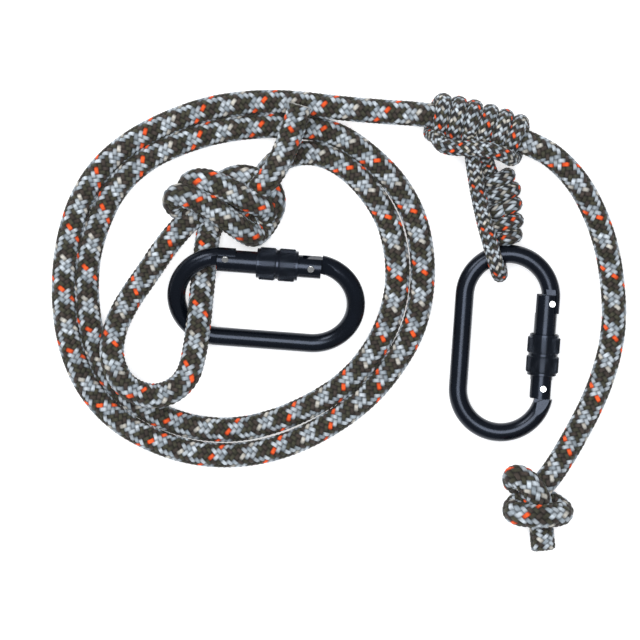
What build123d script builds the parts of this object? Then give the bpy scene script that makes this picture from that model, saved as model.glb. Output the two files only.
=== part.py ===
from build123d import *
import os
from math import cos, degrees, pi, radians, sin, sqrt, tan

# A rope-and-hitch climbing ascender, laid out flat: a braided main rope with a tied
# loop and a stopper knot, a friction hitch of thinner cord that grips the rope, and
# two oval screw-lock carabiners, one in the tied loop and one in the hitch cord.
# Millimetres, +Z up, Z = 0 is the surface that it lies on.

# ---------------------------------------------------------------- carabiner sizes
CARABINER_LENGTH = 110.0
FRAME_WIDTH = 58.3
BAR_DIAMETER = 10.3

GATE_DIAMETER = 12.4
GATE_AXIS_INSET = 7.35          # from the frame's outer edge to the gate's axis
GATE_NOSE_END = 28.5            # gate's end at the nose, from the carabiner's middle
GATE_HINGE_END = 5.6            # gate's end past the hinge pin
GATE_END_GAP = 0.5              # between the gate's ends and the frame's faces
GATE_SIDE_GAP = 0.25            # between the gate and the lip outside it
GATE_OPENING = 25.0             # degrees
FORK_SLOT_GAP = 0.3             # each side of the tongue or tang in its slot

TONGUE_THICKNESS = 4.4
HINGE_PIN_INSET = 6.15          # from the frame's outer edge to each pin
HINGE_PIN_Y = -23.5
LATCH_PIN_INSET = 4.55
LATCH_PIN_Y = 24.0
PIN_DIAMETER = 3.0
PIN_HEAD_DIAMETER = 3.8
PIN_HEAD_HEIGHT = 0.45
PIN_HEAD_ROUND = 0.3
PIN_RUNNING_GAP = 0.05
LATCH_NOTCH_GAP = 0.45          # above and below the latch pin in the tongue's notch
TONGUE_PAST_PIN = 5.5           # tongue and lip end, past the latch pin
LIP_OUTER_TRIM = 0.2            # the lip stands this much inside the frame's edge

TANG_RADIUS = 4.4               # round end of the tang, about the hinge pin
TANG_FLAT = 3.9                 # cam flat that the plunger presses, from the pin
TANG_SLOT_GAP = 0.4             # between the tang's round end and the slot's floor
SWING_GAP = 0.3                 # between the swinging fork and the frame's shoulder
SWING_STEPS = 5

PLUNGER_DIAMETER = 4.2
PLUNGER_LENGTH = 7.0
PLUNGER_GAP = 0.06              # radial, in its bore
PLUNGER_REST_GAP = 0.04         # between the plunger and the cam flat
SPRING_LENGTH = 11.0
SPRING_WIRE = 0.6
SPRING_TURNS = 7

SLEEVE_DIAMETER = 18.2
SLEEVE_LENGTH = 22.9
SLEEVE_NOSE_END = 6.6           # the sleeve's nose-side end when unlocked
SLEEVE_THREAD_GAP = 0.08        # radial, between the sleeve's bore and the gate
SLEEVE_COLLAR_DIAMETER = 16.4
SLEEVE_COLLAR_LENGTH = 1.4
SLEEVE_BEVEL = 0.8
SLEEVE_GROOVE_DIAMETER = 16.4
SLEEVE_GROOVE_WIDTH = 1.2
SLEEVE_GROOVE_PLACE = 11.4      # groove's middle, from the nose-side end
SLEEVE_LIP_GAP = 0.2            # radial, between the counterbore and the lip
SLEEVE_COUNTERBORE_DEPTH = 6.0

THREAD_DEPTH = 0.3
THREAD_PITCH = 1.5
THREAD_GROOVES = 9
THREAD_START = -14.6            # first groove, from the carabiner's middle

FLAT_HALF_HEIGHT = 4.5          # milled flats beside the gate, from the frame's middle
NOSE_FLAT_LENGTH = 2.8
HINGE_FLAT_SLOPE = 8.0          # degrees, so that the flat runs out into the round bar
HINGE_FLAT_LENGTH = 16.0

# ------------------------------------------------------------- rope and cord sizes
ROPE_DIAMETER = 14.0
CORD_DIAMETER = 8.8

HITCH_GRIP_GAP = 0.35           # radial, between the wraps and the rope
WRAP_COUNT = 6
WRAP_PITCH = 9.0
WRAP_WALL_SHARE = 0.78          # how far the wall between two wraps fills up
WRAP_INSET = 0.3                # rings are this much slimmer than the cord
BAR_LOOP_GAP = 1.3              # between the carabiner's bar and the cord round it

# The rope runs through the hitch on an arc, so that the hitch can slide along it.
SLIDE_CENTRE = (23.8, -85.2)
SLIDE_RADIUS = 200.0
SLIDE_HEIGHT = 16.3             # rope's middle, lifted by the cord under it
SLIDE_FIRST_HEADING = 0.0       # degrees clockwise from +X
SLIDE_STEP = 6.625
SLIDE_CORNERS = 5
HITCH_HEADING = 16.0

LOOP_KNOT_SIZE = (64.0, 37.0, 29.0)
LOOP_KNOT_CENTRE = (-63.9, 64.4)
LOOP_KNOT_TURN = -9.0
STOPPER_KNOT_SIZE = (38.0, 33.0, 28.0)
STOPPER_KNOT_CENTRE = (110.1, -99.8)
STOPPER_KNOT_TURN = 0.0
KNOT_ROUND_SHARE = 0.42         # of the smallest side

BARREL_DIAMETER = 22.6
BARREL_ROUND = 4.0
UPPER_BARREL = ((88.6, 79.0, 12.4), (91.2, 62.4, 12.4))
LOWER_BARREL = ((91.4, 61.8, 12.4), (93.6, 47.2, 12.4))

ARC_SHARE = 0.45                # of the shorter run, taken by each corner's arc

# Where each carabiner lies: centre, heading and tilt (degrees).  The one in the tied
# loop rests on its spine, with its gate side lifted by the rope that runs under it.
HITCH_CARABINER_PLACE = Pos(91.9, -13.2, 11.1) * Rot(0, 0, -3.9) * Rot(5.2, 0, 0)
LOOP_CARABINER_CENTRE = (-40.5, 10.8)
LOOP_CARABINER_HEADING = 85.7
LOOP_CARABINER_TILT = 23.4
LOOP_CARABINER_REST_GAP = 0.2   # under its spine

# The cord passes round the hitch carabiner's top bar here: degrees from the middle.
BAR_LOOP_ANGLE = 19.5

# ------------------------------------------------------------------ rope's points
TAIL_ROUTE = [
    (-45.0, 72.0, 22.5), (-33.4, 85.9, 23.0), (-26.7, 100.9, 24.3), (-21.7, 117.6, 24.6),
]

LOOP_ROUTE = [
    (-85.1, 57.5, 12.0), (-96.2, 41.4, 9.0), (-107.3, 24.7, 7.0), (-117.9, 9.7, 9.5),
    (-125.4, -7.0, 17.0), (-126.2, -23.6, 21.5), (-117.9, -38.1, 22.6), (-102.3, -43.6, 21.6),
    (-88.0, -38.0, 23.6), (-79.5, -23.6, 24.6), (-73.7, 44.2, 7.0), (-71.4, 56.2, 8.0),
]

COIL_ROUTE = [
    (-48.4, 78.7, 8.0), (-33.9, 87.6, 7.6), (-15.0, 90.1, 7.0), (0.6, 84.2, 7.0),
    (13.9, 73.7, 7.0), (25.6, 57.5, 7.0), (31.1, 38.1, 7.0), (31.7, 17.5, 7.0),
    (26.4, -2.5, 7.0), (16.7, -20.3, 7.0), (2.8, -35.3, 7.0), (-14.5, -46.4, 7.0),
    (-34.5, -55.3, 7.0), (-56.2, -60.6, 7.0), (-77.8, -59.8, 7.0), (-97.9, -53.7, 7.0),
    (-115.6, -43.6, 7.0), (-129.0, -28.1, 7.0), (-136.2, -8.1, 7.0), (-139.1, 13.1, 7.0),
    (-138.2, 34.8, 7.0), (-132.3, 54.8, 7.0), (-122.9, 73.4, 7.0), (-107.0, 88.1, 7.0),
    (-88.1, 97.0, 7.0), (-67.0, 103.4, 7.0), (-45.0, 106.3, 7.0), (-22.8, 106.6, 7.0),
    (-2.2, 102.9, 7.0), (15.6, 92.3, 7.0), (31.7, 76.5, 7.0), (42.3, 57.5, 7.0),
    (46.7, 36.4, 7.0), (46.4, 14.7, 7.0), (41.7, -5.8, 7.0), (31.1, -24.7, 7.0),
    (17.2, -41.7, 7.0), (0.0, -55.3, 7.0), (-19.5, -66.2, 7.0), (-40.0, -73.4, 7.0),
    (-62.3, -76.2, 7.0), (-84.5, -73.9, 7.0), (-105.1, -66.7, 7.0), (-124.0, -55.9, 7.0),
    (-139.6, -40.0, 7.0), (-149.0, -19.7, 7.0), (-153.5, 1.9, 7.0), (-154.0, 24.2, 7.0),
    (-151.2, 45.9, 7.0), (-144.6, 67.0, 7.0), (-133.2, 85.1, 7.0), (-116.2, 99.5, 7.0),
    (-95.6, 110.1, 7.0), (-73.9, 117.3, 7.0), (-51.2, 120.9, 7.0), (-27.2, 121.0, 8.5),
    (-3.3, 117.6, 14.0),
]
COIL_CUTS = {"coil_inner_turn_right": 13, "coil_inner_turn_left": 27,
             "coil_outer_turn_right": 40, "coil_outer_turn_left": 54}

RIGHT_ROUTE = [
    (120.7, 88.7, 16.2), (127.9, 81.7, 15.6), (134.6, 73.1, 14.4), (140.7, 62.0, 12.4),
    (146.2, 48.9, 10.0), (150.1, 34.8, 8.0), (152.3, 19.2, 7.0), (153.4, 2.5, 7.0),
    (151.6, -14.5, 7.0), (146.8, -32.3, 7.0), (140.1, -48.6, 7.0), (131.6, -64.5, 7.0),
    (122.9, -78.7, 8.0), (115.1, -90.4, 10.0),
]

END_ROUTE = [(112.3, -110.5, 10.0), (113.2, -119.8, 7.6), (113.7, -127.6, 7.0)]

BRIDGE_ROUTE = [
    (50.6, 103.8, 24.0), (54.5, 99.2, 30.0), (64.5, 96.5, 33.4), (75.1, 95.6, 33.9),
    (85.1, 94.0, 33.4), (93.5, 92.2, 31.4), (98.4, 91.2, 24.5),
]

FRONT_LEG_ROUTE = [
    (72.3, 99.5, 22.0), (74.5, 88.7, 24.5), (77.3, 70.9, 26.0), (81.2, 53.1, 26.6),
]
BACK_LEG_END_ROUTE = [(91.4, 51.5, 8.6)]
BACK_LEG_TOP_ROUTE = [(88.9, 76.5, 12.6), (87.0, 86.5, 13.2), (84.4, 92.6, 14.4)]

UPPER_TAIL_ROUTE = [(87.5, 71.0, 9.0), (82.5, 69.0, 6.6), (79.0, 64.5, 5.0)]
LOWER_TAIL_ROUTE = [(82.4, 57.4, 8.0), (80.8, 52.4, 6.0), (79.0, 47.2, 4.8)]

# -------------------------------------------------------------- sizes that follow
BAR_RADIUS = BAR_DIAMETER / 2
END_RADIUS = (FRAME_WIDTH - BAR_DIAMETER) / 2       # the end arcs' centreline
STRAIGHT_HALF = (CARABINER_LENGTH - FRAME_WIDTH) / 2
FRAME_EDGE = FRAME_WIDTH / 2
GATE_RADIUS = GATE_DIAMETER / 2
GATE_AXIS_X = FRAME_EDGE - GATE_AXIS_INSET
HINGE_PIN_X = FRAME_EDGE - HINGE_PIN_INSET
LATCH_PIN_X = FRAME_EDGE - LATCH_PIN_INSET
NOSE_FACE = GATE_NOSE_END + GATE_END_GAP
HINGE_FACE = HINGE_PIN_Y - GATE_HINGE_END - GATE_END_GAP
TONGUE_END = LATCH_PIN_Y - TONGUE_PAST_PIN
TANG_SLOT_END = HINGE_PIN_Y + TANG_RADIUS + TANG_SLOT_GAP
LIP_EDGE = FRAME_EDGE - LIP_OUTER_TRIM
SLOT_HALF = TONGUE_THICKNESS / 2 + FORK_SLOT_GAP
SPRING_RADIUS = PLUNGER_DIAMETER / 2 - SPRING_WIRE
CAM_LEVER = sqrt(TANG_RADIUS ** 2 - TANG_FLAT ** 2)  # plunger travel per radian
ROPE_RADIUS = ROPE_DIAMETER / 2
CORD_RADIUS = CORD_DIAMETER / 2
LOOP_CARABINER_HEIGHT = (BAR_RADIUS + LOOP_CARABINER_REST_GAP
                         + END_RADIUS * sin(radians(LOOP_CARABINER_TILT)))
LOOP_CARABINER_PLACE = (Pos(*LOOP_CARABINER_CENTRE, LOOP_CARABINER_HEIGHT)
                        * Rot(0, 0, LOOP_CARABINER_HEADING) * Rot(0, -LOOP_CARABINER_TILT, 0))
BIG = 100.0


# ------------------------------------------------------------------------ helpers
def box(x0, x1, y0, y1, z0, z1):
    """A box between two corners."""
    middle = ((x0 + x1) / 2, (y0 + y1) / 2, (z0 + z1) / 2)
    return Pos(*middle) * Box(x1 - x0, y1 - y0, z1 - z0)


def rod_y(x, y0, y1, radius, z=0.0):
    """A cylinder along Y, between y0 and y1."""
    return Pos(x, (y0 + y1) / 2, z) * Rot(90, 0, 0) * Cylinder(radius, y1 - y0)


def rod_z(x, y, z0, z1, radius):
    """A cylinder along Z, between z0 and z1."""
    return Pos(x, y, (z0 + z1) / 2) * Cylinder(radius, z1 - z0)


def round_route(points, name, diameter):
    """Straight runs joined by tangent arcs, each as large as its runs allow."""
    corners = [Vector(*p) for p in points]
    radii = []
    for before, here, after in zip(corners, corners[1:], corners[2:]):
        turn = (here - before).get_angle(after - here)
        shorter = min((here - before).length, (after - here).length)
        radii.append(ARC_SHARE * shorter / tan(radians(turn) / 2))
    smallest = min(radii)
    print(f"{name}: radii {[round(r, 1) for r in radii]}, smallest {smallest / diameter:.1f} diameters")
    return FilletPolyline(*corners, radius=radii)


def tube(edges, diameter, name):
    """A round cord along joined edges, with its volume compared with its length."""
    path = Wire(edges)
    solid = sweep(Plane(origin=path @ 0, z_dir=path % 0) * Circle(diameter / 2), path)
    share = solid.volume / (pi * diameter ** 2 / 4 * path.length)
    print(f"{name}: length {path.length:.1f}, volume over section times length {share:.4f}")
    return solid


def whole_tube(points, diameter, name):
    """A cord of one piece along its route."""
    route = round_route(points, name, diameter)
    return tube(Wire(route.edges()).order_edges(), diameter, name)


def cut_tubes(points, diameter, cuts, last_name):
    """One route cut into pieces that meet face to face at the named corners' arcs."""
    route = round_route(points, last_name, diameter)
    edges = Wire(route.edges()).order_edges()
    pieces = {}
    start = 0
    for name, corner in [*cuts.items(), (last_name, None)]:
        stop = len(edges) if corner is None else 2 * corner - 1
        pieces[name] = tube(edges[start:stop], diameter, name)
        start = stop
    return pieces


def knot_block(size, centre, turn):
    """The outer shape of a tied knot, resting on the surface."""
    block = Box(*size)
    block = fillet(block.edges(), KNOT_ROUND_SHARE * min(size))
    return Pos(centre[0], centre[1], size[2] / 2) * Rot(0, 0, turn) * block


# ---------------------------------------------------------------------- carabiner
def bar_path():
    """The frame's centreline: up the gate side, round the nose, the spine and the hinge."""
    nose = Vector(END_RADIUS, STRAIGHT_HALF)
    spine_top = Vector(-END_RADIUS, STRAIGHT_HALF)
    spine_bottom = Vector(-END_RADIUS, -STRAIGHT_HALF)
    hinge = Vector(END_RADIUS, -STRAIGHT_HALF)
    edges = [
        Edge.make_line(Vector(END_RADIUS, TONGUE_END), nose),
        Edge.make_three_point_arc(nose, Vector(0, STRAIGHT_HALF + END_RADIUS), spine_top),
        Edge.make_line(spine_top, spine_bottom),
        Edge.make_three_point_arc(spine_bottom, Vector(0, -STRAIGHT_HALF - END_RADIUS), hinge),
        Edge.make_line(hinge, Vector(END_RADIUS, HINGE_PIN_Y + TANG_RADIUS)),
    ]
    return Wire(edges)


def fork_end(gap):
    """The gate's hinge end, enlarged by a gap, for clearing the frame behind it."""
    low = HINGE_PIN_Y - GATE_HINGE_END - gap
    return rod_y(GATE_AXIS_X, low, TANG_SLOT_END, GATE_RADIUS + gap)


def make_frame():
    """C-shaped bar with a notched tongue and lip at the nose and a tang at the hinge."""
    path = bar_path()
    frame = sweep(Plane(origin=path @ 0, z_dir=path % 0) * Circle(BAR_RADIUS), path)
    middle = box(0, BIG, -BIG, BIG, -TONGUE_THICKNESS / 2, TONGUE_THICKNESS / 2)

    gate_room = rod_y(GATE_AXIS_X, TONGUE_END - 1, NOSE_FACE, GATE_RADIUS + GATE_SIDE_GAP)
    frame -= gate_room - middle
    frame -= box(LIP_EDGE, BIG, TONGUE_END - 1, NOSE_FACE, -BIG, BIG)
    notch_half = PIN_DIAMETER / 2 + LATCH_NOTCH_GAP
    frame -= rod_z(LATCH_PIN_X, LATCH_PIN_Y, -BIG, BIG, notch_half)
    frame -= box(0, LATCH_PIN_X, LATCH_PIN_Y - notch_half, LATCH_PIN_Y + notch_half, -BIG, BIG)

    hinge_zone = box(0, BIG, HINGE_FACE, TONGUE_END - 1, -BIG, BIG)
    frame -= hinge_zone - middle
    tang_end = box(0, BIG, HINGE_PIN_Y, TONGUE_END - 1, -BIG, BIG)
    tang_round = rod_z(HINGE_PIN_X, HINGE_PIN_Y, -BIG, BIG, TANG_RADIUS)
    tang_side = box(HINGE_PIN_X + TANG_RADIUS, BIG, HINGE_FACE, HINGE_PIN_Y + 1, -BIG, BIG)
    frame -= tang_end - tang_round
    frame -= tang_side
    frame -= box(0, BIG, HINGE_PIN_Y + TANG_FLAT, TONGUE_END - 1, -BIG, BIG)
    frame -= rod_z(HINGE_PIN_X, HINGE_PIN_Y, -BIG, BIG, PIN_DIAMETER / 2 + PIN_RUNNING_GAP)

    sweep_room = fork_end(SWING_GAP) - middle
    pin = Pos(HINGE_PIN_X, HINGE_PIN_Y, 0)
    for step in range(1, SWING_STEPS + 1):
        turn = Rot(0, 0, GATE_OPENING * step / SWING_STEPS)
        frame -= pin * turn * pin.inverse() * sweep_room

    for side in (1, -1):
        flat = box(0, BIG, NOSE_FACE - 1, NOSE_FACE + NOSE_FLAT_LENGTH, 0, BIG)
        frame -= Pos(0, 0, FLAT_HALF_HEIGHT) * flat if side > 0 else mirror_z(flat)
        ramp = box(0, BIG, -HINGE_FLAT_LENGTH, 0, 0, BIG)
        ramp = Pos(0, HINGE_FACE, FLAT_HALF_HEIGHT - 0.6) * Rot(-HINGE_FLAT_SLOPE, 0, 0) * ramp
        frame -= ramp if side > 0 else ramp.mirror(Plane.XY)
    return frame


def mirror_z(flat):
    """The nose flat's cutter for the underside."""
    return (Pos(0, 0, FLAT_HALF_HEIGHT) * flat).mirror(Plane.XY)


def make_gate():
    """Round barrel, forked at both ends, with thread grooves and a spring bore."""
    low = HINGE_PIN_Y - GATE_HINGE_END
    gate = rod_y(GATE_AXIS_X, low, GATE_NOSE_END, GATE_RADIUS)
    gate -= box(0, BIG, TONGUE_END - GATE_END_GAP, BIG, -SLOT_HALF, SLOT_HALF)
    gate -= box(0, BIG, -BIG, TANG_SLOT_END, -SLOT_HALF, SLOT_HALF)
    bore_end = HINGE_PIN_Y + TANG_FLAT + PLUNGER_REST_GAP + PLUNGER_LENGTH + SPRING_LENGTH
    bore_radius = PLUNGER_DIAMETER / 2 + PLUNGER_GAP
    gate -= rod_y(HINGE_PIN_X, TANG_SLOT_END - 1, bore_end, bore_radius)
    gate -= rod_z(HINGE_PIN_X, HINGE_PIN_Y, -BIG, BIG, PIN_DIAMETER / 2)
    gate -= rod_z(LATCH_PIN_X, LATCH_PIN_Y, -BIG, BIG, PIN_DIAMETER / 2)
    for number in range(THREAD_GROOVES):
        place = THREAD_START + number * THREAD_PITCH
        ring = rod_y(GATE_AXIS_X, place, place + THREAD_PITCH / 2, GATE_RADIUS + 1)
        ring -= rod_y(GATE_AXIS_X, place, place + THREAD_PITCH / 2, GATE_RADIUS - THREAD_DEPTH)
        gate -= ring
    return gate


def make_pin(x, y):
    """A rivet through the gate's two cheeks, with a domed head each side."""
    surface = sqrt(GATE_RADIUS ** 2 - (x - GATE_AXIS_X) ** 2)
    pin = rod_z(x, y, -surface, surface, PIN_DIAMETER / 2)
    for side in (1, -1):
        foot = surface - PIN_HEAD_HEIGHT
        head = rod_z(x, y, foot, surface + PIN_HEAD_HEIGHT, PIN_HEAD_DIAMETER / 2)
        head = fillet(head.edges().sort_by(Axis.Z)[-1:], PIN_HEAD_ROUND)
        pin += head if side > 0 else head.mirror(Plane.XY)
    return pin


def make_sleeve():
    """Screw sleeve: two knurl bands with a groove between, collars and a counterbore."""
    top = SLEEVE_NOSE_END
    low = top - SLEEVE_LENGTH
    groove = top - SLEEVE_GROOVE_PLACE
    outer = SLEEVE_DIAMETER / 2
    collar = SLEEVE_COLLAR_DIAMETER / 2
    groove_radius = SLEEVE_GROOVE_DIAMETER / 2
    half = SLEEVE_GROOVE_WIDTH / 2
    outline = [
        (0, low), (collar, low), (collar, low + SLEEVE_COLLAR_LENGTH),
        (outer, low + SLEEVE_COLLAR_LENGTH + SLEEVE_BEVEL),
        (outer, groove - half - SLEEVE_BEVEL), (groove_radius, groove - half),
        (groove_radius, groove + half), (outer, groove + half + SLEEVE_BEVEL),
        (outer, top - SLEEVE_COLLAR_LENGTH - SLEEVE_BEVEL),
        (collar, top - SLEEVE_COLLAR_LENGTH), (collar, top), (0, top),
    ]
    face = make_face(Polyline(*outline, close=True))
    sleeve = Pos(GATE_AXIS_X, 0, 0) * revolve(face, Axis.Y)
    sleeve -= rod_y(GATE_AXIS_X, low - 1, top + 1, GATE_RADIUS + SLEEVE_THREAD_GAP)
    counterbore = LIP_EDGE - GATE_AXIS_X + SLEEVE_LIP_GAP
    sleeve -= rod_y(GATE_AXIS_X, top - SLEEVE_COUNTERBORE_DEPTH, top + 1, counterbore)
    return sleeve


def make_plunger():
    """Push rod between the gate's spring and the tang's cam flat."""
    low = HINGE_PIN_Y + TANG_FLAT + PLUNGER_REST_GAP
    return rod_y(HINGE_PIN_X, low, low + PLUNGER_LENGTH, PLUNGER_DIAMETER / 2)


def make_spring():
    """Coil spring between the plunger and the floor of its bore."""
    low = HINGE_PIN_Y + TANG_FLAT + PLUNGER_REST_GAP + PLUNGER_LENGTH
    height = SPRING_LENGTH - SPRING_WIRE
    coil = Helix(pitch=height / SPRING_TURNS, height=height, radius=SPRING_RADIUS)
    wire = sweep(Plane(origin=coil @ 0, z_dir=coil % 0) * Circle(SPRING_WIRE / 2), coil)
    return Pos(HINGE_PIN_X, low + SPRING_WIRE / 2, 0) * Rot(-90, 0, 0) * wire


def make_carabiner(name, place):
    """Every piece of one carabiner, moved to where it lies."""
    pieces = {
        "frame": make_frame(),
        "gate": make_gate(),
        "hinge_rivet": make_pin(HINGE_PIN_X, HINGE_PIN_Y),
        "latch_pin": make_pin(LATCH_PIN_X, LATCH_PIN_Y),
        "locking_sleeve": make_sleeve(),
        "spring_plunger": make_plunger(),
        "gate_spring": make_spring(),
    }
    return {f"{name}_{piece}": place * solid for piece, solid in pieces.items()}


# ------------------------------------------------------------------ rope and cord
def slide_corners():
    """The rope's corners through the hitch, evenly spaced round the slide's centre."""
    corner_radius = SLIDE_RADIUS / cos(radians(SLIDE_STEP) / 2)
    points = []
    for number in range(SLIDE_CORNERS):
        heading = radians(SLIDE_FIRST_HEADING + number * SLIDE_STEP)
        x = SLIDE_CENTRE[0] + corner_radius * sin(heading)
        y = SLIDE_CENTRE[1] + corner_radius * cos(heading)
        points.append((x, y, SLIDE_HEIGHT))
    return points


def make_main_rope():
    """The rope's tail, tied loop, coil, run through the hitch, stopper knot and end."""
    pieces = {
        "rope_tail": whole_tube(TAIL_ROUTE, ROPE_DIAMETER, "rope_tail"),
        "loop_knot": knot_block(LOOP_KNOT_SIZE, LOOP_KNOT_CENTRE, LOOP_KNOT_TURN),
        "loop_strand": whole_tube(LOOP_ROUTE, ROPE_DIAMETER, "loop_strand"),
        "stopper_knot": knot_block(STOPPER_KNOT_SIZE, STOPPER_KNOT_CENTRE, STOPPER_KNOT_TURN),
        "rope_end": whole_tube(END_ROUTE, ROPE_DIAMETER, "rope_end"),
    }
    through_hitch = slide_corners()
    route = COIL_ROUTE + through_hitch + RIGHT_ROUTE
    cuts = dict(COIL_CUTS)
    cuts["rope_through_hitch"] = len(COIL_ROUTE) + len(through_hitch)
    pieces.update(cut_tubes(route, ROPE_DIAMETER, cuts, "rope_right_run"))
    return pieces


def hitch_plane(heading):
    """A plane across the rope where the hitch slides, at a heading in degrees."""
    turn = radians(heading)
    x = SLIDE_CENTRE[0] + SLIDE_RADIUS * sin(turn)
    y = SLIDE_CENTRE[1] + SLIDE_RADIUS * cos(turn)
    return Plane(origin=(x, y, SLIDE_HEIGHT), z_dir=(cos(turn), -sin(turn), 0))


def make_wraps():
    """The hitch's turns round the rope, with a bore that slides along it."""
    ring_radius = ROPE_RADIUS + HITCH_GRIP_GAP + CORD_RADIUS
    bore = ROPE_RADIUS + HITCH_GRIP_GAP
    wall = bore + CORD_DIAMETER * WRAP_WALL_SHARE
    pitch_angle = degrees(WRAP_PITCH / SLIDE_RADIUS)
    half_span = pitch_angle * (WRAP_COUNT - 1) / 2 + pitch_angle / 4
    start = hitch_plane(HITCH_HEADING - half_span)
    axis = Axis((SLIDE_CENTRE[0], SLIDE_CENTRE[1], 0), (0, 0, -1))
    wraps = revolve(start * Circle(wall), axis, 2 * half_span)
    for number in range(WRAP_COUNT):
        heading = HITCH_HEADING + (number - (WRAP_COUNT - 1) / 2) * pitch_angle
        ring = Torus(ring_radius + WRAP_INSET, CORD_RADIUS - WRAP_INSET)
        wraps += hitch_plane(heading) * ring
    margin = 2 * pitch_angle
    bore_start = hitch_plane(HITCH_HEADING - half_span - margin)
    wraps -= revolve(bore_start * Circle(bore), axis, 2 * (half_span + margin))
    return wraps


def bar_loop_frame():
    """Where the cord goes round the top bar: point, outward direction, across, and up."""
    angle = radians(BAR_LOOP_ANGLE)
    outward = Vector(-sin(angle), cos(angle), 0)
    across = Vector(cos(angle), sin(angle), 0)
    point = Vector(0, STRAIGHT_HALF, 0) + outward * END_RADIUS
    place = Plane(HITCH_CARABINER_PLACE)
    origin = place.from_local_coords(point)
    out_world = place.from_local_coords(point + outward) - origin
    across_world = place.from_local_coords(point + across) - origin
    up_world = place.from_local_coords(point + Vector(0, 0, 1)) - origin
    return origin, out_world, across_world, up_world


def bar_loop_route():
    """Half an octagon of corners round the bar, from above it to below it."""
    origin, outward, _, up = bar_loop_frame()
    reach = BAR_RADIUS + BAR_LOOP_GAP + CORD_RADIUS
    corner = reach * tan(radians(22.5))
    spots = [(0.55 * reach, reach), (-corner, reach), (-reach, corner),
             (-reach, -corner), (-corner, -reach), (0.45 * reach, -reach)]
    return [tuple(origin + outward * a + up * b) for a, b in spots]


def barrel(ends):
    """One barrel of the knot that joins the cord: a rounded drum."""
    low, high = Vector(*ends[0]), Vector(*ends[1])
    length = (high - low).length
    drum = fillet(Cylinder(BARREL_DIAMETER / 2, length).edges(), BARREL_ROUND)
    return Plane(origin=(low + high) / 2, z_dir=high - low) * drum


def make_hitch_cord():
    """The cord's wraps, bridge, legs, joining knot and short tails."""
    leg = FRONT_LEG_ROUTE + bar_loop_route() + BACK_LEG_END_ROUTE
    return {
        "hitch_wraps": make_wraps(),
        "hitch_bridge": whole_tube(BRIDGE_ROUTE, CORD_DIAMETER, "hitch_bridge"),
        "hitch_leg_and_bight": whole_tube(leg, CORD_DIAMETER, "hitch_leg_and_bight"),
        "hitch_back_leg": whole_tube(BACK_LEG_TOP_ROUTE, CORD_DIAMETER, "hitch_back_leg"),
        "joining_knot_upper_barrel": barrel(UPPER_BARREL),
        "joining_knot_lower_barrel": barrel(LOWER_BARREL),
        "cord_tail_upper": whole_tube(UPPER_TAIL_ROUTE, CORD_DIAMETER, "cord_tail_upper"),
        "cord_tail_lower": whole_tube(LOWER_TAIL_ROUTE, CORD_DIAMETER, "cord_tail_lower"),
    }


def main():
    """Build every node and write it to parts/."""
    os.makedirs("parts", exist_ok=True)
    nodes = {}
    nodes.update(make_main_rope())
    nodes.update(make_hitch_cord())
    nodes.update(make_carabiner("loop_carabiner", LOOP_CARABINER_PLACE))
    nodes.update(make_carabiner("hitch_carabiner", HITCH_CARABINER_PLACE))
    for name, solid in nodes.items():
        export_step(solid, f"parts/{name}.step")
    print(f"{len(nodes)} nodes")


if __name__ == "__main__":
    main()
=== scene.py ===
import logging
import math
from dataclasses import dataclass, field
from enum import Enum

import bpy
import numpy as np
from mathutils import Matrix, Vector


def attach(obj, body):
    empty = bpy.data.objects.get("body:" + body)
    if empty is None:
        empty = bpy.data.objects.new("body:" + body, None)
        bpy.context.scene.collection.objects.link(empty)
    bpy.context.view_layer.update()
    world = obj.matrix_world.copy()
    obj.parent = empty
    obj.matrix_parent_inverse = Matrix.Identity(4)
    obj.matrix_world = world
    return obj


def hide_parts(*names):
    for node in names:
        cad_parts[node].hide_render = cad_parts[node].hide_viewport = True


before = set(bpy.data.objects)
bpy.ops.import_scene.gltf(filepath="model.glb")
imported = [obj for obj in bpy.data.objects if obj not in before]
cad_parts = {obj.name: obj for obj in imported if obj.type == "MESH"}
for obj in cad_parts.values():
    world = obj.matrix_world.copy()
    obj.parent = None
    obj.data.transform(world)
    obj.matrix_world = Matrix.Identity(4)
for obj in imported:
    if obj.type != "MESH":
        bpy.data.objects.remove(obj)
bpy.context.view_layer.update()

LOG = logging.getLogger("ascender")

Point = tuple[float, float, float]
Colour = tuple[float, float, float]


# ------------------------------------------------------------------ finishes
class Yarn(Enum):
    """The yarn colours that the sheaths are braided from, linear RGB."""

    MIST = (0.55, 0.60, 0.64)
    STEEL = (0.36, 0.41, 0.45)
    CREAM = (0.54, 0.51, 0.45)
    OLIVE = (0.056, 0.053, 0.034)
    BROWN = (0.064, 0.049, 0.040)
    CHARCOAL = (0.034, 0.034, 0.035)
    ORANGE = (0.92, 0.105, 0.018)
    CORE = (0.74, 0.73, 0.68)


def node_material(name: str) -> tuple[bpy.types.Material, bpy.types.NodeTree, bpy.types.Node]:
    """Make a node material.

    Args:
        name: the material's name.

    Returns:
        The material, its node tree and its Principled shader.
    """
    material = bpy.data.materials.new(name)
    material.use_nodes = True
    tree = material.node_tree
    return material, tree, tree.nodes["Principled BSDF"]


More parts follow.
